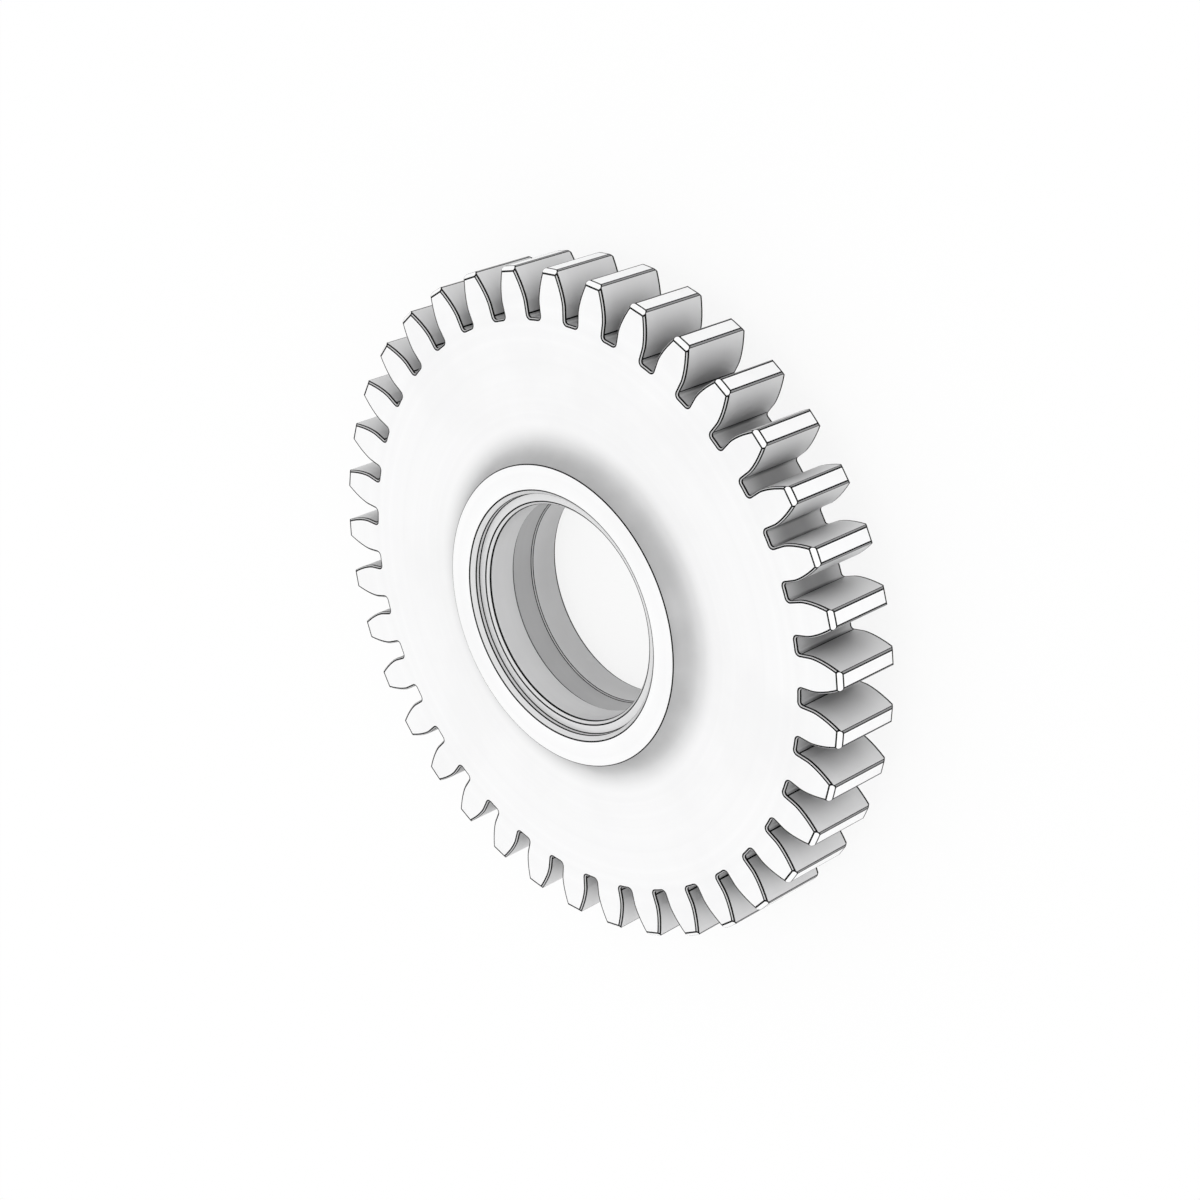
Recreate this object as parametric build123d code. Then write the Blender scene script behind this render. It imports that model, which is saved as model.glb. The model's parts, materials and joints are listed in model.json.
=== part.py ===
from build123d import *
from math import acos, asin, cos, hypot, pi, radians, sin, sqrt, tan
import os

# A straight-toothed spur gear with a hub that stands out of both sides of a plain web.
# Its axis is Z, the lower end of the hub lies on Z = 0, and one tooth points along +X.
# Lengths are in millimetres, and pressure_angle is in degrees.

# Teeth
teeth = 37
module = 4.0
pressure_angle = 20.0
addendum = 3.25
dedendum = 7.85
face_width = 17.5
root_fillet = 0.7
tip_bevel = 0.4
tip_chamfer = 0.85

# Hub
hub_wall = 9.8
hub_projection = 4.25
cove_reach = 5.2
cove_depth = 1.2

# Bore, the same from both ends: mouth, counterbore, shoulder and land, with a relief at mid-length
bore_diameter = 50.0
shoulder_width = 2.85
counterbore_depth = 2.1
mouth_chamfer = 1.1
land_chamfer = 0.8
relief_width = 6.3
relief_depth = 0.35

# Sizes that follow from the ones above
half_pitch = pi / teeth
pitch_radius = module * teeth / 2
base_radius = pitch_radius * cos(radians(pressure_angle))
tip_radius = pitch_radius + addendum
root_radius = pitch_radius - dedendum
bore_radius = bore_diameter / 2
counterbore_radius = bore_radius + shoulder_width
hub_radius = bore_radius + hub_wall
web_top = face_width / 2
hub_top = web_top + hub_projection

# Construction values: how many arcs carry a flank's curve, how many flats make up a root fillet, how
# deep a rim each tooth is built with, and how far the turned envelope stands off where it cuts nothing
flank_arcs = 2
fillet_flats = 4
rim_depth = 2.0
rim_stock = 2.0
rim_inner = root_radius - rim_depth


def polar(radius, angle):
    """The point of the tooth section at a radius and an angle in radians."""
    return radius * cos(angle), radius * sin(angle)


def involute(radius):
    """The involute function at a radius: how far the flank has turned since the base circle."""
    angle = acos(base_radius / radius)
    return tan(angle) - angle


def taut_string(radius):
    """Length of the string that unwinds from the base circle to draw the flank at a radius."""
    return sqrt(radius ** 2 - base_radius ** 2)


def half_thickness(radius):
    """Half of a tooth's angle: a quarter pitch at the pitch circle, and constant under the base."""
    return half_pitch / 2 + involute(pitch_radius) - involute(max(radius, base_radius))


def tip_edges():
    """The top land and its bevelled edge, from the middle of the tooth to the flank."""
    land_angle = half_thickness(tip_radius) - tip_bevel / tip_radius
    flank_end = tip_radius - tip_bevel * base_radius / tip_radius
    land_end = polar(tip_radius, land_angle)
    land = ThreePointArc(polar(tip_radius, 0), polar(tip_radius, land_angle / 2), land_end)
    return [land, Line(land_end, polar(flank_end, half_thickness(flank_end)))], flank_end


def root_edges():
    """The fillet at the foot of the flank, and the root land as far as the middle of the gap."""
    gap = sin(half_pitch - half_thickness(base_radius))
    fillet_radius = min(root_fillet, 0.95 * root_radius * gap / (1 - gap))
    centre = root_radius + fillet_radius
    contact = sqrt(centre ** 2 - fillet_radius ** 2)
    land_angle = half_thickness(base_radius) + asin(fillet_radius / centre)
    if contact > base_radius:
        contact = hypot(base_radius, taut_string(centre) - fillet_radius)
        land_angle = half_thickness(centre) + fillet_radius / base_radius
    land_start = polar(root_radius, land_angle)
    middle = polar(root_radius, (land_angle + half_pitch) / 2)
    land = ThreePointArc(land_start, middle, polar(root_radius, half_pitch))
    fillet_arc = RadiusArc(polar(contact, half_thickness(contact)), land_start, fillet_radius)
    corners = [fillet_arc @ (index / fillet_flats) for index in range(fillet_flats + 1)]
    return [Polyline(*corners), land], contact


def flank_edges(inner, outer):
    """The flank between two radii: arcs through points of the involute, within 0.01 mm of it."""
    string = taut_string(inner)
    step = (taut_string(outer) - string) / (2 * flank_arcs)
    radii = [hypot(base_radius, string + step * index) for index in range(2 * flank_arcs + 1)]
    points = [polar(radius, half_thickness(radius)) for radius in radii]
    return [ThreePointArc(*points[start:start + 3]) for start in range(0, 2 * flank_arcs, 2)]


def tooth_section():
    """One pitch of the toothed rim, from the middle of one gap to the middle of the next."""
    tip, flank_end = tip_edges()
    root, foot = root_edges()
    flank_start = max(foot, base_radius)
    side = Line(polar(root_radius, half_pitch), polar(rim_inner, half_pitch))
    half = tip + flank_edges(flank_start, flank_end) + root + [side]
    if foot < base_radius:
        angle = half_thickness(foot)
        half.append(Line(polar(foot, angle), polar(base_radius, angle)))
    inside = ThreePointArc(polar(rim_inner, -half_pitch), (rim_inner, 0), polar(rim_inner, half_pitch))
    return make_face(half + [mirror(edge, Plane.XZ) for edge in half] + [inside])


def turned(outline):
    """The solid of revolution with this outline of radius and height, the same below Z = 0."""
    upper = revolve(Plane.XZ * make_face(outline), Axis.Z)
    return upper + mirror(upper, Plane.XY)


def rim_envelope():
    """The turned rim that the teeth are cut in, with its chamfered corners, larger elsewhere."""
    inner = rim_inner - rim_stock
    outer = tip_radius + rim_stock
    level = web_top + rim_stock
    corner = (tip_radius - tip_chamfer - rim_stock, level)
    side = (outer, web_top - tip_chamfer - rim_stock)
    return turned(Polyline((inner, 0), (inner, level), corner, side, (outer, 0), close=True))


def tooth_segment():
    """One pitch of the toothed rim as a solid, with the corners of the tooth's ends turned off."""
    return extrude(Pos(0, 0, -web_top) * tooth_section(), face_width) & rim_envelope()


def hub_and_web():
    """The turned middle of the gear: the stepped bore, the hub's end faces, the coves and the web."""
    shoulder = hub_top - counterbore_depth
    bore_side = Polyline(
        (bore_radius + relief_depth, 0),
        (bore_radius + relief_depth, relief_width / 2 - relief_depth),
        (bore_radius, relief_width / 2),
        (bore_radius, shoulder - land_chamfer),
        (bore_radius + land_chamfer, shoulder),
        (counterbore_radius, shoulder),
        (counterbore_radius, hub_top - mouth_chamfer),
        (counterbore_radius + mouth_chamfer, hub_top),
        (hub_radius, hub_top),
    )
    hollow = SagittaArc((hub_radius + cove_reach, web_top), (hub_radius, hub_top), cove_depth)
    cove = Spline(hollow @ 0, hollow @ 0.5, hollow @ 1)
    web_side = Polyline(hollow @ 0, (rim_inner, web_top), (rim_inner, 0), bore_side @ 0)
    return turned([bore_side, cove, web_side])


def spur_gear():
    """The finished gear, standing on the lower end of its hub."""
    segment = tooth_segment()
    rim = [Rot(0, 0, 360 / teeth * index) * segment for index in range(teeth)]
    return Pos(0, 0, hub_top) * (hub_and_web() + rim)


os.makedirs("parts", exist_ok=True)
export_step(spur_gear(), "parts/spur_gear.step")
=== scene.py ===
"""A straight-toothed steel spur gear with a coved hub on both sides, dressed for a studio view.

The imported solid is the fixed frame. The gear's visual mesh stands for it and adds what finishes the
teeth and the turned corners: rounded tips, round root fillets and the fine break on every edge.
"""
import json
import math
from types import SimpleNamespace

import bmesh
import bpy
from bpy.props import FloatProperty, FloatVectorProperty, IntProperty, PointerProperty
from mathutils import Matrix, Quaternion, Vector


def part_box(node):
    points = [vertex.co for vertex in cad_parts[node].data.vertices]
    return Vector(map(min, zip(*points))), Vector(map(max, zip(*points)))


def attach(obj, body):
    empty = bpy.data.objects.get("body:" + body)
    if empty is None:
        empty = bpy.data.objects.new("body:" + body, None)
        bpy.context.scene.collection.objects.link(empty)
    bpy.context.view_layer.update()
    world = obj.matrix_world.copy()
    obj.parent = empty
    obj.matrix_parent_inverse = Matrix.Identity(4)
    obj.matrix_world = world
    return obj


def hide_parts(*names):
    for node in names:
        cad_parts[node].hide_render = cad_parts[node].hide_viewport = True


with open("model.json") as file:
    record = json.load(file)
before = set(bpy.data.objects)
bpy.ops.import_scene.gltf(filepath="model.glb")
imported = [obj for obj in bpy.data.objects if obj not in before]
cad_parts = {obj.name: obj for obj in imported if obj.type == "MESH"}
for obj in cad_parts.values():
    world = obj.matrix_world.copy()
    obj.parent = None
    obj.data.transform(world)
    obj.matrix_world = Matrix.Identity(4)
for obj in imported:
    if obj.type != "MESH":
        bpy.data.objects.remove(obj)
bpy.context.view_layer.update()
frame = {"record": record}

bl_info = {
    "name": "Spur Gear",
    "version": (1, 0, 0),
    "blender": (4, 5, 0),
    "location": "View3D > Sidebar > Spur Gear",
    "description": "Builds a turned and hobbed spur gear, its steel finishes and its studio",
    "category": "Add Mesh",
}

NODE = "spur_gear"
PIECE = "finished_gear"
MILLIMETRES = 1000
LOW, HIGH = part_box(NODE)
MOUNTS = {mount["name"]: mount for mount in frame["record"]["mounts"]}
BORE = MOUNTS["bore"]["dims"]["r_mm"] / MILLIMETRES
COUNTERBORE = MOUNTS["upper_counterbore"]["dims"]["r_mm"] / MILLIMETRES
PITCH = MOUNTS["teeth"]["pos_m"][0]

# The finishes in the order of the piece's material slots
FINISHES = ("Faced web steel", "Faced hub steel", "Hobbed flank steel", "Hobbed root steel",
            "Bored steel", "Relieved bore steel", "Turned rim steel", "Rounded tip steel",
            "Broken edge steel", "Blackened edge steel")
WEB, HUB, FLANK, ROOT, BORED, RELIEF, RIM, ROUND, BREAK, LINE = range(len(FINISHES))


# ---------------------------------------------------------------------------------------------
# What a user can change
# ---------------------------------------------------------------------------------------------

def length_property(name, description, default):
    """A length property, kept in metres."""
    return FloatProperty(name=name, description=description, default=default, min=0.0, precision=5,
                         unit="LENGTH")


def angle_property(name, description, degrees):
    """An angle property, kept in radians."""
    return FloatProperty(name=name, description=description, default=math.radians(degrees),
                         subtype="ANGLE")


def factor_property(name, description, default):
    """A share from 0 to 1."""
    return FloatProperty(name=name, description=description, default=default, min=0.0, max=1.0,
                         subtype="FACTOR")


def power_property(name, description, default):
    """A lamp's power in watts."""
    return FloatProperty(name=name, description=description, default=default, min=0.0, unit="POWER")


def colour_property(name, description, default):
    """A colour property without alpha."""
    return FloatVectorProperty(name=name, description=description, default=default, min=0.0, max=1.0,
                               size=3, subtype="COLOR")


class GearSizes(bpy.types.PropertyGroup):
    """Sizes of the gear."""
    teeth: IntProperty(name="Teeth", description="Number of teeth", default=37, min=12)
    pressure_angle: angle_property("Pressure angle", "Pressure angle of the involute flanks", 20)
    pitch_radius: length_property("Pitch radius", "Radius at which a tooth is half a pitch thick", PITCH)
    tip_radius: length_property("Tip radius", "Radius over the top lands", HIGH.x)
    root_radius: length_property("Root radius", "Radius at the bottom of the gaps", 0.06615)
    face_width: length_property("Face width", "Length of the teeth along the axis", 0.0175)
    root_fillet: length_property("Root fillet", "Radius where a flank meets the root", 0.0007)
    tip_round: length_property("Tip round", "Radius between a flank and the top land", 0.0006)
    tip_chamfer: length_property("Tip chamfer", "Turned chamfer at the ends of the top lands", 0.00085)
    edge_break: length_property("Edge break", "Chamfer round the ends of the teeth and gaps", 0.0003)
    line_width: length_property("Line width", "Width of the blackened line along an edge", 0.00027)
    hub_radius: length_property("Hub radius", "Outside radius of the hub's end faces", 0.0348)
    cove_reach: length_property("Cove reach", "How far the cove runs out over the web", 0.0052)
    cove_depth: length_property("Cove depth", "How far the cove sinks behind its chord", 0.0012)
    bore_radius: length_property("Bore radius", "Radius of the two bearing lands", BORE)
    counterbore_radius: length_property("Counterbore radius", "Radius of the wide mouth of the bore",
                                        COUNTERBORE)
    counterbore_depth: length_property("Counterbore depth", "Depth of the shoulder in the bore", 0.0021)
    mouth_chamfer: length_property("Mouth chamfer", "Chamfer at the mouth of the counterbore", 0.0011)
    land_chamfer: length_property("Land chamfer", "Chamfer between the shoulder and the land", 0.0008)
    relief_width: length_property("Relief width", "Width of the relief at the middle of the bore", 0.0063)
    relief_depth: length_property("Relief depth", "Depth of the relief", 0.00035)


class SteelFinish(bpy.types.PropertyGroup):
    """Colours and surface of the steel."""
    web: colour_property("Faced web", "Web and coves", (0.88, 0.88, 0.883))
    hub: colour_property("Faced hub", "End faces of the hub", (0.89, 0.89, 0.893))
    # The flanks, roots, bore and relief are tinted darker than the faces as painted shade of the gaps and
    # the bore, and the top lands paler as painted light
    flank: colour_property("Hobbed flanks", "Flanks of the teeth", (0.715, 0.715, 0.719))
    root: colour_property("Hobbed roots", "Root fillets and root lands", (0.56, 0.56, 0.564))
    bored: colour_property("Bored steel", "Bore, shoulders and counterbores", (0.725, 0.725, 0.729))
    relief: colour_property("Relieved bore", "Relief at the middle of the bore", (0.50, 0.50, 0.504))
    rim: colour_property("Turned rim", "Top lands and their chamfers", (0.95, 0.95, 0.953))
    round: colour_property("Rounded tips", "Rounds between flanks and top lands", (0.26, 0.26, 0.263))
    broken: colour_property("Broken edges", "Chamfers round the ends of the teeth", (0.60, 0.60, 0.605))
    line: colour_property("Blackened edges", "Thin dark lines along the edges", (0.004, 0.004, 0.0043))
    # Colour of the painted shade that darkens the gaps, the coves and the bottom of the bore
    grime: colour_property("Settled grime", "Dull film in the gaps and coves", (0.14, 0.14, 0.142))
    metallic: factor_property("Metallic", "How metallic the steel reads", 0.45)
    roughness: factor_property("Roughness", "Least roughness of the satin finish", 0.46)
    # How strong the painted shade is at the foot of the hub, low on the flanks, in the root fillets and
    # low in the bore
    cove_shade: factor_property("Cove grime", "Settled grime at the foot of the hub", 0.64)
    flank_shade: factor_property("Flank grime", "Settled grime low on the flanks", 0.50)
    root_shade: factor_property("Root grime", "Settled grime in the root fillets", 1.0)
    bore_shade: factor_property("Bore grime", "Settled grime low in the bore", 0.26)


class StudioSetup(bpy.types.PropertyGroup):
    """Camera, lamps and floor."""
    distance: length_property("Distance", "From the middle of the gear to the camera", 0.5604)
    azimuth: angle_property("Azimuth", "Direction of view, turned from along +Y", -0.70)
    elevation: angle_property("Elevation", "Height of the camera over the gear's middle", 39.80)
    roll: angle_property("Roll", "Turn of the camera about its view", -112.88)
    lens: FloatProperty(name="Lens", description="Focal length", default=75.426, min=1.0, unit="CAMERA")
    rise: FloatProperty(name="Rise", description="Vertical shift of the lens", default=-0.00063)
    floor: colour_property("Floor", "Colour of the floor under its white", (0.93, 0.93, 0.93))
    floor_size: length_property("Floor size", "Side of the square floor", 6.0)
    floor_white: factor_property("Floor white", "How much of the floor's look is plain white", 0.85)
    key: power_property("Key", "Power of the large top softbox", 1.0)
    front: power_property("Front", "Power of the front softbox", 2.3)
    ambient: FloatProperty(name="Ambient", description="Strength of the studio's own light", default=1.0,
                           min=0.0)


# ---------------------------------------------------------------------------------------------
# The gear's mesh, worked out in millimetres about its own mid-plane
# ---------------------------------------------------------------------------------------------

# Distance within which points are merged: in one outline, and where the rim meets the turned middle
MATCH, SEAM = 1e-5, 5e-3

# How far a point may lie off a level, a radius or a bearing, and the middle of a face off a radius
TINY, NEAR = 1e-3, 0.1

# A face stands upright where its normal rises by less than the first, and is level above the second
UPRIGHT, LEVEL = 0.5, 0.99

# Steps in each curve. The rim and the turned middle meet, so they share the steps of one pitch.
PITCH_STEPS = 8
FLANK_STEPS = 8
LAND_STEPS = 4
ROUND_STEPS = 4
FILLET_STEPS = 5
COVE_STEPS = 12
CORNER_STEPS = 2

# Depth of the rim under the roots, width of the web's first ring outside the cove, and the sharpest
# turn between two faces that still look like one
RIM_DEPTH = 2.0
RING_WIDTH = 2.0
SMOOTH_TURN = math.radians(31)

# How wide each blackened line is, as a share of the line width: at the foot of the flanks, along the
# top lands, either side of the broken edges, across the ends of the flanks and of the top lands,
# round the tips' chamfers, and at the corners of the relief, of the bore's lands and of the rest
FOOT_LINE, LAND_LINE, BREAK_LINE = 1.4, 0.55, 0.37
FLANK_END_LINE, LAND_END_LINE, CHAMFER_LINE = 1.45, 1.3, 0.24
RELIEF_LINE, BORE_LINE, TURNED_LINE = 0.4, 0.95, 0.72


def in_millimetres(sizes):
    """The gear's sizes as a plain namespace, with the lengths in millimetres."""
    values = {}
    for name, prop in sizes.bl_rna.properties.items():
        if name in ("rna_type", "name"):
            continue
        value = getattr(sizes, name)
        values[name] = value * MILLIMETRES if prop.unit == "LENGTH" else value
    values["half_pitch"] = math.pi / values["teeth"]
    values["base_radius"] = values["pitch_radius"] * math.cos(values["pressure_angle"])
    values["web_top"] = values["face_width"] / 2
    values["hub_top"] = (HIGH.z - LOW.z) * MILLIMETRES / 2
    values["rim_inner"] = values["root_radius"] - RIM_DEPTH
    lean = math.pi / 2 - math.acos(values["base_radius"] / values["tip_radius"])
    values["tip_cut"] = values["tip_round"] * math.tan(lean / 2)
    return SimpleNamespace(**values)


def polar(radius, angle):
    """A point of the mid-plane at a radius and an angle."""
    return Vector((radius * math.cos(angle), radius * math.sin(angle), 0.0))


def half_thickness(gear, radius):
    """Half of a tooth's angle at a radius, constant under the base circle."""
    def turn(at):
        angle = math.acos(gear.base_radius / at)
        return math.tan(angle) - angle
    return gear.half_pitch / 2 + turn(gear.pitch_radius) - turn(max(radius, gear.base_radius))


def everything(bm):
    """All vertices, edges and faces of a bmesh."""
    return bm.verts[:] + bm.edges[:] + bm.faces[:]


def chain(bm, points):
    """A run of new vertices joined by edges."""
    verts = [bm.verts.new(point) for point in points]
    for pair in zip(verts, verts[1:]):
        bm.edges.new(pair)
    return verts


def swing(bm, vert, centre, axis, angle, steps):
    """Carries a vertex round an arc, leaving edges behind it, and returns the last vertex."""
    made = bmesh.ops.spin(bm, geom=[vert], cent=centre, axis=axis, angle=angle, steps=steps)
    return [item for item in made["geom_last"] if isinstance(item, bmesh.types.BMVert)][0]


def bevel(bm, geom, offset, segments, affect="EDGES"):
    """Bevels edges or vertices with a round or flat section, and returns the faces made."""
    return bmesh.ops.bevel(bm, geom=geom, offset=offset, offset_type="OFFSET", segments=segments,
                           profile=0.5, affect=affect, clamp_overlap=True, material=-1)["faces"]


def slice_at(bm, place, normal, clear_outer=False):
    """Cuts the whole mesh by a plane, and returns the edges and vertices of the cut."""
    return bmesh.ops.bisect_plane(bm, geom=everything(bm), dist=MATCH, plane_co=place,
                                  plane_no=normal, clear_outer=clear_outer)["geom_cut"]


def paint(faces, finish):
    """Gives faces a finish."""
    for face in list(faces):
        face.material_index = finish


def meets(face, finishes):
    """Whether a face shares an upright edge with one of the finishes."""
    upright = [edge for edge in face.edges if abs(edge.verts[0].co.z - edge.verts[1].co.z) > TINY]
    return any(other.material_index in finishes for edge in upright for other in edge.link_faces)


def inset(bm, faces, width):
    """Blackens a line of this width just inside the border of a group of faces."""
    made = bmesh.ops.inset_region(bm, faces=faces, thickness=width, use_even_offset=True)
    paint(made["faces"], LINE)


def tooth_outline(bm, gear):
    """The closed outline of one pitch of the rim, with sharp corners, filled with one face."""
    base, tip, root = gear.base_radius, gear.tip_radius, gear.root_radius
    foot = half_thickness(gear, base)
    land = half_thickness(gear, tip) - (gear.tip_cut + gear.line_width * LAND_LINE) / tip
    string = math.sqrt(tip ** 2 - base ** 2)
    flank = [math.hypot(base, string * step / FLANK_STEPS) for step in range(FLANK_STEPS + 1)]
    half = [polar(root, gear.half_pitch), polar(root, foot),
            polar(root + gear.root_fillet + gear.line_width * FOOT_LINE, foot)]
    half += [polar(radius, half_thickness(gear, radius)) for radius in flank]
    verts = chain(bm, [*half, polar(tip, land)])
    swing(bm, verts[-1], (0, 0, 0), (0, 0, 1), -land, LAND_STEPS)
    bmesh.ops.mirror(bm, geom=bm.verts[:] + bm.edges[:], matrix=Matrix.Identity(4), merge_dist=MATCH,
                     axis="Y")
    bmesh.ops.remove_doubles(bm, verts=bm.verts[:], dist=MATCH)
    ends = sorted((vert for vert in bm.verts if len(vert.link_edges) == 1), key=lambda vert: vert.co.y)
    inner = bm.verts.new(polar(gear.rim_inner, -gear.half_pitch))
    bm.edges.new((ends[0], inner))
    last = swing(bm, inner, (0, 0, 0), (0, 0, 1), 2 * gear.half_pitch, PITCH_STEPS)
    bm.edges.new((last, ends[1]))
    bmesh.ops.contextual_create(bm, geom=bm.edges[:])


def uprights(bm, radius, angle):
    """The edges along the axis at a radius and at an angle to either side."""
    found = []
    for edge in bm.edges:
        low, high = edge.verts
        bearing = abs(math.atan2(low.co.y, low.co.x))
        if ((low.co.xy - high.co.xy).length < TINY and abs(low.co.xy.length - radius) < TINY
                and abs(bearing - angle) < TINY / radius):
            found.append(edge)
    return found


def is_open(face, gear):
    """Whether a face of one pitch only closes it against its neighbours and the rest of the gear."""
    across = Vector((math.sin(gear.half_pitch), math.cos(gear.half_pitch)))
    return (all(vert.co.z < TINY for vert in face.verts)
            or all(vert.co.xy.length < gear.rim_inner + TINY for vert in face.verts)
            or all(abs(across.x * vert.co.x - across.y * abs(vert.co.y)) < TINY for vert in face.verts))


def raise_pitch(bm, gear):
    """The outline of one pitch carried up to the end face, with a finish for each upright face."""
    raised = bmesh.ops.extrude_face_region(bm, geom=bm.faces[:])["geom"]
    moved = [item for item in raised if isinstance(item, bmesh.types.BMVert)]
    bmesh.ops.translate(bm, vec=(0, 0, gear.web_top), verts=moved)
    bmesh.ops.recalc_face_normals(bm, faces=bm.faces[:])
    for face in bm.faces:
        radius = face.calc_center_median().xy.length
        if abs(face.normal.z) < UPRIGHT:
            face.material_index = RIM if radius > gear.tip_radius - NEAR else FLANK
            if radius < gear.root_radius + NEAR:
                face.material_index = ROOT


def round_corners(bm, gear):
    """Root fillets and rounded tips, with a line beside each."""
    tips = uprights(bm, gear.tip_radius, half_thickness(gear, gear.tip_radius))
    roots = uprights(bm, gear.root_radius, half_thickness(gear, gear.base_radius))
    for edges, finish in ((roots, FLANK), (tips, RIM)):
        beside = (face for edge in edges for face in edge.link_faces if face.material_index == finish)
        paint(beside, LINE)
    paint(bevel(bm, roots, gear.root_fillet, FILLET_STEPS), ROOT)
    rounds = bevel(bm, tips, gear.tip_cut, ROUND_STEPS)
    paint(rounds, ROUND)
    paint((face for face in rounds if meets(face, (LINE, FLANK))), LINE)


def break_edges(bm, gear):
    """The chamfer round the end of the tooth and the gap, with a line on either side of it."""
    top = gear.web_top - TINY
    outline = [edge for edge in bm.edges
               if min(vert.co.z for vert in edge.verts) > top
               and min(vert.co.xy.length for vert in edge.verts) > gear.root_radius - NEAR]
    paint(bevel(bm, outline, gear.edge_break, 1), BREAK)
    bmesh.ops.delete(bm, geom=[face for face in bm.faces if is_open(face, gear)], context="FACES")
    broken = [face for face in bm.faces if face.material_index == BREAK]
    inset(bm, broken, gear.line_width * BREAK_LINE)

    upper = gear.web_top - gear.edge_break
    lower = upper - FLANK_END_LINE * gear.line_width
    slice_at(bm, (0, 0, lower), (0, 0, 1))
    paint((face for face in bm.faces if upper > face.calc_center_median().z > lower), LINE)
    inset(bm, [face for face in bm.faces if face.normal.z > LEVEL], gear.line_width)


def chamfer_tip(bm, gear):
    """The chamfer turned on the end of the tip, with a line round it."""
    slope = (1, 0, 1)
    reach = gear.tip_radius - gear.tip_chamfer
    border = reach + gear.web_top - LAND_END_LINE * gear.line_width
    slice_at(bm, (border, 0, 0), slope)
    paint((face for face in bm.faces if face.calc_center_median().dot(slope) > border), LINE)
    cut = slice_at(bm, (reach, 0, gear.web_top), slope, clear_outer=True)
    edges = [item for item in cut if isinstance(item, bmesh.types.BMEdge)]
    made = bmesh.ops.contextual_create(bm, geom=edges)["faces"]
    paint(made, RIM)
    inset(bm, made, CHAMFER_LINE * gear.line_width)


def tooth_pitch(bm, gear):
    """One pitch of the upper half of the toothed rim: flanks, root, top land and end face."""
    tooth_outline(bm, gear)
    raise_pitch(bm, gear)
    round_corners(bm, gear)
    break_edges(bm, gear)
    chamfer_tip(bm, gear)


def toothed_rim(gear):
    """The upper half of the whole toothed rim."""
    bm = bmesh.new()
    tooth_pitch(bm, gear)
    turns = gear.teeth - 1
    bmesh.ops.spin(bm, geom=everything(bm), cent=(0, 0, 0), axis=(0, 0, 1),
                   angle=2 * gear.half_pitch * turns, steps=turns, use_duplicate=True)
    return bm


def cove_arc(gear):
    """The centre and the sweep of the cove's arc, from the hub's end face to the web."""
    start = Vector((gear.hub_radius, 0, gear.hub_top))
    foot = Vector((gear.hub_radius + gear.cove_reach, 0, gear.web_top))
    chord = foot - start
    bend = (chord.length ** 2 / 4 + gear.cove_depth ** 2) / (2 * gear.cove_depth)
    outward = Vector((-chord.z, 0, chord.x)).normalized()
    return (start + foot) / 2 + outward * (bend - gear.cove_depth), 2 * math.asin(chord.length / 2 / bend)


def turned_section(bm, gear):
    """The section of what is turned, from the middle of the bore over the hub to the rim."""
    top, bore, counterbore = gear.hub_top, gear.bore_radius, gear.counterbore_radius
    shoulder = top - gear.counterbore_depth
    relief = bore + gear.relief_depth
    corners = [(relief, 0), (relief, gear.relief_width / 2 - gear.relief_depth),
               (bore, gear.relief_width / 2), (bore, shoulder - gear.land_chamfer),
               (bore + gear.land_chamfer, shoulder), (counterbore, shoulder),
               (counterbore, top - gear.mouth_chamfer), (counterbore + gear.mouth_chamfer, top),
               (gear.hub_radius, top)]
    verts = chain(bm, [(radius, 0, level) for radius, level in corners])
    centre, sweep = cove_arc(gear)
    last = swing(bm, verts[-1], centre, (0, -1, 0), sweep, COVE_STEPS)
    ring = gear.hub_radius + gear.cove_reach + RING_WIDTH
    outer = [bm.verts.new((radius, 0, gear.web_top)) for radius in (ring, gear.rim_inner)]
    bm.edges.new((last, outer[0]))
    bm.edges.new(outer)
    for group, share in ((verts[1:3], RELIEF_LINE), (verts[3:4], BORE_LINE), (verts[4:], TURNED_LINE)):
        bevel(bm, group, share * gear.line_width, CORNER_STEPS, "VERTICES")


def turned_finish(face, gear):
    """The finish of a turned face; the narrowest are the lines."""
    middle = face.calc_center_median()
    radius = middle.xy.length
    if min(edge.calc_length() for edge in face.edges) < gear.line_width:
        return LINE
    if radius > gear.bore_radius + TINY and middle.z < gear.relief_width / 2:
        return RELIEF
    if radius < gear.counterbore_radius + gear.mouth_chamfer - TINY:
        return BORED
    return HUB if radius < gear.hub_radius - gear.line_width else WEB


def turned_half(gear):
    """The upper half of what is turned: bore, shoulder, hub end, cove and web."""
    bm = bmesh.new()
    turned_section(bm, gear)
    bmesh.ops.rotate(bm, verts=bm.verts[:], cent=(0, 0, 0),
                     matrix=Matrix.Rotation(-gear.half_pitch, 3, "Z"))
    bmesh.ops.spin(bm, geom=bm.verts[:] + bm.edges[:], cent=(0, 0, 0), axis=(0, 0, 1),
                   angle=2 * math.pi, steps=gear.teeth * PITCH_STEPS, use_merge=True)
    for face in bm.faces:
        face.material_index = turned_finish(face, gear)
    return bm


def join(bm, other):
    """Adds another bmesh's geometry to this one."""
    carrier = bpy.data.meshes.new("carrier")
    other.to_mesh(carrier)
    other.free()
    bm.from_mesh(carrier)
    bpy.data.meshes.remove(carrier)


def whole_gear(gear):
    """The closed gear, standing on its lower hub face, in metres."""
    bm = toothed_rim(gear)
    join(bm, turned_half(gear))
    bmesh.ops.remove_doubles(bm, verts=bm.verts[:], dist=SEAM)
    bmesh.ops.mirror(bm, geom=everything(bm), matrix=Matrix.Identity(4), merge_dist=TINY, axis="Z")
    bmesh.ops.remove_doubles(bm, verts=bm.verts[:], dist=TINY)
    bmesh.ops.recalc_face_normals(bm, faces=bm.faces[:])
    return bm


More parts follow.
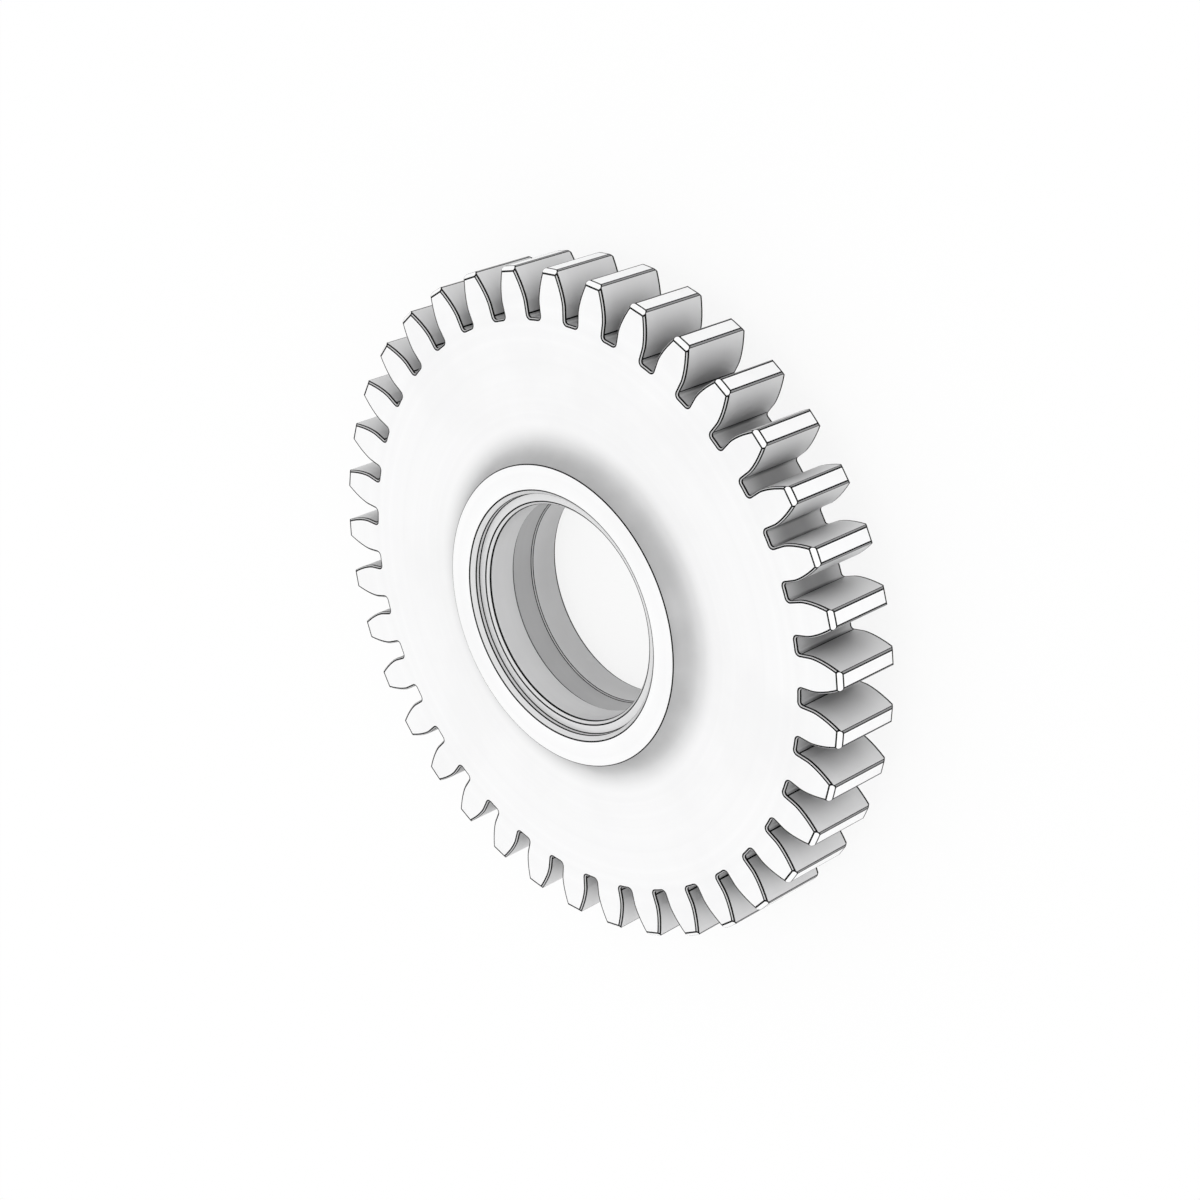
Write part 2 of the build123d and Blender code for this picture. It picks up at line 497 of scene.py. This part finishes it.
def crease(bm):
    """Smooths every face, and keeps the edges that turn sharply or border a blackened line."""
    for face in bm.faces:
        face.smooth = True
    for edge in bm.edges:
        lines = sum(face.material_index == LINE for face in edge.link_faces)
        edge.smooth = lines != 1 and edge.calc_face_angle(math.pi) < SMOOTH_TURN


# ---------------------------------------------------------------------------------------------
# Finishes
# ---------------------------------------------------------------------------------------------

# Height of the regular tool marks beside the uneven ones
REGULAR_MARKS = 0.3

# Values of the noise between which the handling film comes up, and the clouds of painted shade
FILM_EDGE, CLOUD_EDGE = (0.42, 0.70), (0.3, 0.7)

# Share of the painted shade that stays between its clouds
THIN_SHADE = 0.8

# Share of the way from the middle of a gap to its end where the painted shade starts to fade, and is gone
SHADE_FADE = (0.25, 1.0)

# Share of the tint on dark and on pale tool marks and under the film
DARK_MARK, PALE_MARK, FILMED = 0.97, 1.02, 0.96

# How uneven and how strong the tool marks are, and the size in metres and the amount of the film's patches
UNEVENNESS, MARK_STRENGTH = 0.6, 0.35
FILM_SIZE, FILM_AMOUNT = 0.028, 0.5

# Roughness that the film and its speckle add
FILM_ROUGHNESS, SPECKLE_ROUGHNESS = 0.14, 0.05

# Specular level of bare and of blackened steel
BARE_SPECULAR, BLACK_SPECULAR = 0.5, 0.15

WHITE = (1.0, 1.0, 1.0, 1.0)


def add(tree, kind, **settings):
    """A node with its settings; values for its inputs are given as in_NAME."""
    node = tree.nodes.new(kind)
    for name, value in settings.items():
        if name.startswith("in_"):
            node.inputs[name.removeprefix("in_")].default_value = value
        else:
            setattr(node, name, value)
    return node


def feed(tree, slots, *values):
    """Fills input sockets in order, each from another socket or with a constant."""
    for slot, value in zip(slots, values):
        if isinstance(value, bpy.types.NodeSocket):
            tree.links.new(value, slot)
        else:
            slot.default_value = value


def math_node(tree, operation, *values, clamp=False):
    """The result of a Math node."""
    node = add(tree, "ShaderNodeMath", operation=operation, use_clamp=clamp)
    feed(tree, node.inputs, *values)
    return node.outputs[0]


def ramp(tree, value, low, high, bottom=0.0, top=1.0, shape="SMOOTHSTEP"):
    """A value's place between low and high, turned into one from bottom to top."""
    node = add(tree, "ShaderNodeMapRange", interpolation_type=shape)
    feed(tree, node.inputs, value, low, high, bottom, top)
    return node.outputs[0]


def noise(tree, place, dimensions="3D", **settings):
    """The value of a noise at a place, or along a line where it has one dimension."""
    node = add(tree, "ShaderNodeTexNoise", noise_dimensions=dimensions, **settings)
    tree.links.new(place, node.inputs["W" if dimensions == "1D" else "Vector"])
    return node.outputs[0]


def new_group(name, inputs, outputs):
    """An empty node group with named float or colour sockets, and its two end nodes."""
    tree = bpy.data.node_groups.new(name, "ShaderNodeTree")
    for label, kind, default in inputs:
        socket = tree.interface.new_socket(name=label, in_out="INPUT", socket_type=kind)
        socket.default_value = default
    for label, kind in outputs:
        tree.interface.new_socket(name=label, in_out="OUTPUT", socket_type=kind)
    return tree, tree.nodes.new("NodeGroupInput"), tree.nodes.new("NodeGroupOutput")


def place_radius(tree):
    """Sockets for a point's distance from the axis, its height and its place, in object space."""
    place = add(tree, "ShaderNodeTexCoord").outputs["Object"]
    split = add(tree, "ShaderNodeSeparateXYZ")
    tree.links.new(place, split.inputs[0])
    squares = [math_node(tree, "MULTIPLY", part, part) for part in split.outputs[:2]]
    return math_node(tree, "SQRT", math_node(tree, "ADD", *squares)), split.outputs[2], place


def tool_marks_group():
    """Fine parallel marks of a cutting tool, by radius on faced metal and by height elsewhere."""
    tree, given, out = new_group(
        "Tool marks",
        [("Feed", "NodeSocketFloat", 0.0004), ("By height", "NodeSocketFloat", 0.0),
         ("Unevenness", "NodeSocketFloat", 0.5)],
        [("Height", "NodeSocketFloat"), ("Tone", "NodeSocketFloat")])
    radius, level, _ = place_radius(tree)
    blend = add(tree, "ShaderNodeMix", data_type="FLOAT")
    tree.links.new(given.outputs["By height"], blend.inputs[0])
    feed(tree, blend.inputs[2:4], radius, level)
    along = math_node(tree, "DIVIDE", blend.outputs[0], given.outputs["Feed"])
    rings = noise(tree, along, "1D", in_Scale=1.0, in_Detail=3.0)
    wave = math_node(tree, "SINE", math_node(tree, "MULTIPLY", along, 2 * math.pi))
    uneven = math_node(tree, "MULTIPLY", rings, given.outputs["Unevenness"])
    regular = math_node(tree, "MULTIPLY", wave, REGULAR_MARKS)
    tree.links.new(math_node(tree, "ADD", regular, uneven), out.inputs["Height"])
    tree.links.new(noise(tree, along, "1D", in_Scale=0.18, in_Detail=3.0), out.inputs["Tone"])
    return tree


def handling_film_group():
    """Soft patches where hands and oil have dulled the metal."""
    tree, given, out = new_group(
        "Handling film",
        [("Size", "NodeSocketFloat", 0.03), ("Amount", "NodeSocketFloat", 0.5)],
        [("Film", "NodeSocketFloat"), ("Speckle", "NodeSocketFloat")])
    scaled = add(tree, "ShaderNodeVectorMath", operation="SCALE")
    tree.links.new(add(tree, "ShaderNodeTexCoord").outputs["Object"], scaled.inputs[0])
    tree.links.new(math_node(tree, "DIVIDE", 1.0, given.outputs["Size"]), scaled.inputs["Scale"])
    patches = noise(tree, scaled.outputs[0], in_Scale=1.0, in_Detail=4.0, in_Roughness=0.6)
    film = math_node(tree, "MULTIPLY", ramp(tree, patches, *FILM_EDGE), given.outputs["Amount"])
    tree.links.new(film, out.inputs["Film"])
    tree.links.new(noise(tree, scaled.outputs[0], in_Scale=60.0, in_Detail=2.0), out.inputs["Speckle"])
    return tree


def painted_shade_group():
    """Painted shade that deepens from one radius towards another, and fades at the open ends of a gap."""
    tree, given, out = new_group(
        "Settled grime",
        [("Clean radius", "NodeSocketFloat", 0.04), ("Dull radius", "NodeSocketFloat", 0.035),
         ("Amount", "NodeSocketFloat", 0.5), ("Middle height", "NodeSocketFloat", 0.013),
         ("Half length", "NodeSocketFloat", 0.01), ("Open ends", "NodeSocketFloat", 0.0)],
        [("Grime", "NodeSocketFloat")])
    radius, level, place = place_radius(tree)
    # Painted shade: darker from the lit radius to the shaded radius, fading towards the open ends, broken
    # into faint clouds
    depth = ramp(tree, radius, given.outputs["Clean radius"], given.outputs["Dull radius"])
    off = math_node(tree, "ABSOLUTE", math_node(tree, "SUBTRACT", level, given.outputs["Middle height"]))
    end = ramp(tree, math_node(tree, "DIVIDE", off, given.outputs["Half length"]), *SHADE_FADE)
    faded = math_node(tree, "MULTIPLY", end, given.outputs["Open ends"])
    kept = math_node(tree, "MULTIPLY", depth, math_node(tree, "SUBTRACT", 1.0, faded))
    amount = math_node(tree, "MULTIPLY", kept, given.outputs["Amount"])
    clouds = noise(tree, place, in_Scale=90.0, in_Detail=3.0)
    patchy = ramp(tree, clouds, *CLOUD_EDGE, bottom=THIN_SHADE, shape="LINEAR")
    tree.links.new(math_node(tree, "MULTIPLY", amount, patchy, clamp=True), out.inputs["Grime"])
    return tree


def use_group(tree, group, **values):
    """Places a node group in a material with its own values."""
    node = add(tree, "ShaderNodeGroup", node_tree=group)
    for label, value in values.items():
        node.inputs[label.replace("_", " ").capitalize()].default_value = value
    return node


def shade(tint, share=1.0):
    """An opaque colour made darker or paler, never above white."""
    return (*(min(channel * share, 1.0) for channel in tint), 1.0)


def mixed(tree, share, first, second):
    """A colour between two, by a share from a socket."""
    node = add(tree, "ShaderNodeMix", data_type="RGBA")
    tree.links.new(share, node.inputs[0])
    feed(tree, node.inputs[6:8], first, second)
    return node.outputs[2]


def steel(name, finish, tint, groups, pitch, by_height, depth, grime, shine):
    """A steel finish: tool marks, a handling film and, where given, painted shade."""
    material = bpy.data.materials.new(name)
    material.use_nodes = True
    tree = material.node_tree
    shader = tree.nodes["Principled BSDF"]
    shader.inputs["Metallic"].default_value = finish.metallic
    specular = BLACK_SPECULAR if name == FINISHES[LINE] else BARE_SPECULAR
    shader.inputs["Specular IOR Level"].default_value = specular
    marks = use_group(tree, groups["marks"], feed=pitch, by_height=by_height, unevenness=UNEVENNESS)
    film = use_group(tree, groups["film"], size=FILM_SIZE, amount=FILM_AMOUNT)
    base = mixed(tree, marks.outputs["Tone"], shade(tint, DARK_MARK), shade(tint, PALE_MARK))
    base = mixed(tree, film.outputs["Film"], base, shade(tint, FILMED))
    # Painted shade darkens the colour in the gaps, the coves and the bore
    if grime:
        shade_node = use_group(tree, groups["grime"], **grime)
        base = mixed(tree, shade_node.outputs["Grime"], base, shade(finish.grime))
    tree.links.new(base, shader.inputs["Base Color"])
    rough = math_node(tree, "MULTIPLY_ADD", film.outputs["Film"], FILM_ROUGHNESS, finish.roughness - shine)
    rough = math_node(tree, "MULTIPLY_ADD", film.outputs["Speckle"], SPECKLE_ROUGHNESS, rough)
    tree.links.new(rough, shader.inputs["Roughness"])
    bump = add(tree, "ShaderNodeBump", in_Strength=MARK_STRENGTH, in_Distance=depth)
    tree.links.new(marks.outputs["Height"], bump.inputs["Height"])
    tree.links.new(bump.outputs[0], shader.inputs["Normal"])
    return material


# ---------------------------------------------------------------------------------------------
# Operators
# ---------------------------------------------------------------------------------------------

class GEAR_OT_build(bpy.types.Operator):
    """Build the gear's mesh from its sizes and stand it in the place of the solid."""
    bl_idname = "spur_gear.build"
    bl_label = "Build Gear"

    def execute(self, context):
        gear = in_millimetres(context.scene.gear_sizes)
        bm = whole_gear(gear)
        if any(not edge.is_manifold for edge in bm.edges):
            raise RuntimeError("the gear's mesh is not closed")
        crease(bm)
        bmesh.ops.translate(bm, vec=(0, 0, gear.hub_top), verts=bm.verts[:])
        bmesh.ops.scale(bm, vec=(1 / MILLIMETRES,) * 3, verts=bm.verts[:])
        mesh = bpy.data.meshes.new(PIECE)
        bm.to_mesh(mesh)
        bm.free()
        piece = bpy.data.objects.new(PIECE, mesh)
        context.scene.collection.objects.link(piece)
        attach(piece, "root")
        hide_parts(NODE)
        return {"FINISHED"}


class GEAR_OT_finish(bpy.types.Operator):
    """Give the gear its steel finishes."""
    bl_idname = "spur_gear.finish"
    bl_label = "Finish Steel"

    def execute(self, context):
        piece = bpy.data.objects.get(PIECE)
        if piece is None:
            raise RuntimeError("build the gear before its finishes")
        sizes, finish = context.scene.gear_sizes, context.scene.steel_finish
        groups = {"marks": tool_marks_group(), "film": handling_film_group(),
                  "grime": painted_shade_group()}
        hub, root, fillet = sizes.hub_radius, sizes.root_radius, sizes.root_fillet
        # Where the painted shade lies: at the foot of the hub, low on the flanks, in the root fillets and
        # towards the bottom of the bore
        face = {"middle_height": (LOW.z + HIGH.z) / 2, "half_length": sizes.face_width / 2}
        cove = dict(face, clean_radius=hub + sizes.cove_reach * 1.5, dull_radius=hub,
                    amount=finish.cove_shade, open_ends=0.0)
        flank = dict(face, clean_radius=sizes.tip_radius + 0.002, dull_radius=root,
                     amount=finish.flank_shade, open_ends=0.45)
        gap = dict(face, clean_radius=root - 2 * fillet, dull_radius=root + fillet,
                   amount=finish.root_shade, open_ends=0.8)
        bore = dict(clean_radius=0.0, dull_radius=sizes.bore_radius - 0.001, amount=finish.bore_shade,
                    middle_height=LOW.z, half_length=(HIGH.z - LOW.z) * 0.8, open_ends=1.0)
        # Tint, pitch of the tool marks, 1 where they run round a bore or a flank and 0 on a face, their
        # depth, painted shade, and how much smoother than the rest
        cuts = (
            (finish.web, 0.00045, 0.0, 0.00001, cove, 0.0),
            (finish.hub, 0.00035, 0.0, 0.00001, None, 0.0),
            (finish.flank, 0.0009, 1.0, 0.00001, flank, 0.0),
            (finish.root, 0.0009, 1.0, 0.00001, gap, 0.0),
            (finish.bored, 0.0003, 1.0, 0.000006, bore, 0.06),
            (finish.relief, 0.0003, 1.0, 0.000006, None, 0.0),
            (finish.rim, 0.0004, 1.0, 0.000006, None, 0.04),
            (finish.round, 0.0006, 0.0, 0.000004, None, 0.0),
            (finish.broken, 0.0006, 0.0, 0.000004, None, 0.0),
            (finish.line, 0.0006, 0.0, 0.000004, None, 0.0),
        )
        for name, (tint, *cut) in zip(FINISHES, cuts):
            piece.data.materials.append(steel(name, finish, tint, groups, *cut))
        return {"FINISHED"}


# The lamps: name, place and size in metres, and which of the studio's settings holds the power
SOFTBOXES = (
    ("top softbox", (0.0, 0.7, 0.9), (1.6, 1.2), "key"),
    ("front softbox", (-0.5, -1.1, 0.42), (1.6, 1.0), "front"),
)


def softbox(context, name, place, target, size, power):
    """A large soft lamp that faces a point."""
    lamp = bpy.data.lights.new(name, "AREA")
    lamp.shape = "RECTANGLE"
    lamp.size, lamp.size_y = size
    lamp.energy = power
    holder = bpy.data.objects.new(name, lamp)
    holder.location = place
    holder.rotation_euler = (Vector(target) - Vector(place)).to_track_quat("-Z", "Y").to_euler()
    context.scene.collection.objects.link(holder)


def floor_material(studio):
    """A pale floor that shows near white, keeps shadows, and is white in reflections."""
    material = bpy.data.materials.new("Pale floor")
    material.use_nodes = True
    tree = material.node_tree
    shader = tree.nodes["Principled BSDF"]
    shader.inputs["Base Color"].default_value = (*studio.floor, 1.0)
    shader.inputs["Roughness"].default_value = 0.9
    shader.inputs["Specular IOR Level"].default_value = 0.1
    path = add(tree, "ShaderNodeLightPath")
    seen = math_node(tree, "MAXIMUM", path.outputs["Is Camera Ray"], path.outputs["Is Glossy Ray"])
    seen = math_node(tree, "MAXIMUM", seen, path.outputs["Is Transmission Ray"])
    share = math_node(tree, "MULTIPLY", seen, studio.floor_white)
    white = add(tree, "ShaderNodeEmission", in_Color=WHITE, in_Strength=1.0)
    blend = add(tree, "ShaderNodeMixShader")
    tree.links.new(share, blend.inputs[0])
    tree.links.new(shader.outputs[0], blend.inputs[1])
    tree.links.new(white.outputs[0], blend.inputs[2])
    tree.links.new(blend.outputs[0], tree.nodes["Material Output"].inputs["Surface"])
    return material


class GEAR_OT_stage(bpy.types.Operator):
    """Set up the floor, the lamps, the studio's own light and the camera."""
    bl_idname = "spur_gear.stage"
    bl_label = "Set Up Stage"

    def execute(self, context):
        scene, studio = context.scene, context.scene.studio_setup
        middle = (LOW + HIGH) / 2

        bm = bmesh.new()
        bmesh.ops.create_grid(bm, x_segments=1, y_segments=1, size=studio.floor_size / 2)
        mesh = bpy.data.meshes.new("floor")
        bm.to_mesh(mesh)
        bm.free()
        mesh.materials.append(floor_material(studio))
        floor = bpy.data.objects.new("floor", mesh)
        scene.collection.objects.link(floor)

        for name, place, size, power in SOFTBOXES:
            softbox(context, name, place, middle, size, getattr(studio, power))

        world = bpy.data.worlds.new("Studio")
        world.use_nodes = True
        backdrop = world.node_tree.nodes["Background"]
        backdrop.inputs["Color"].default_value = WHITE
        backdrop.inputs["Strength"].default_value = studio.ambient
        scene.world = world

        camera = bpy.data.objects.new("camera", bpy.data.cameras.new("camera"))
        camera.data.lens = studio.lens
        camera.data.sensor_width = 36.0
        camera.data.shift_y = studio.rise
        camera.data.clip_start = 0.01
        flat = math.cos(studio.elevation)
        back = Vector((math.sin(studio.azimuth) * flat, -math.cos(studio.azimuth) * flat,
                       math.sin(studio.elevation)))
        camera.location = middle + back * studio.distance
        camera.rotation_mode = "QUATERNION"
        turn = Quaternion((0, 0, 1), studio.roll)
        camera.rotation_quaternion = (-back).to_track_quat("-Z", "Y") @ turn
        scene.collection.objects.link(camera)
        scene.camera = camera
        scene.view_settings.view_transform = "Standard"
        return {"FINISHED"}


class GEAR_PT_panel(bpy.types.Panel):
    """Lists the gear's operators."""
    bl_idname = "GEAR_PT_panel"
    bl_label = "Spur Gear"
    bl_space_type = "VIEW_3D"
    bl_region_type = "UI"
    bl_category = "Spur Gear"

    def draw(self, context):
        for operator in OPERATORS:
            self.layout.operator(operator.bl_idname)


OPERATORS = (GEAR_OT_build, GEAR_OT_finish, GEAR_OT_stage)
GROUPS = {"gear_sizes": GearSizes, "steel_finish": SteelFinish, "studio_setup": StudioSetup}


def register():
    for cls in (*GROUPS.values(), *OPERATORS, GEAR_PT_panel):
        bpy.utils.register_class(cls)
    for name, cls in GROUPS.items():
        setattr(bpy.types.Scene, name, PointerProperty(type=cls))


def unregister():
    for name in GROUPS:
        delattr(bpy.types.Scene, name)
    for cls in (GEAR_PT_panel, *reversed(OPERATORS), *reversed(list(GROUPS.values()))):
        bpy.utils.unregister_class(cls)


def main():
    """Registers the add-on and builds everything in order."""
    register()
    bpy.ops.spur_gear.build()
    bpy.ops.spur_gear.finish()
    bpy.ops.spur_gear.stage()


if __name__ == "__main__":
    main()
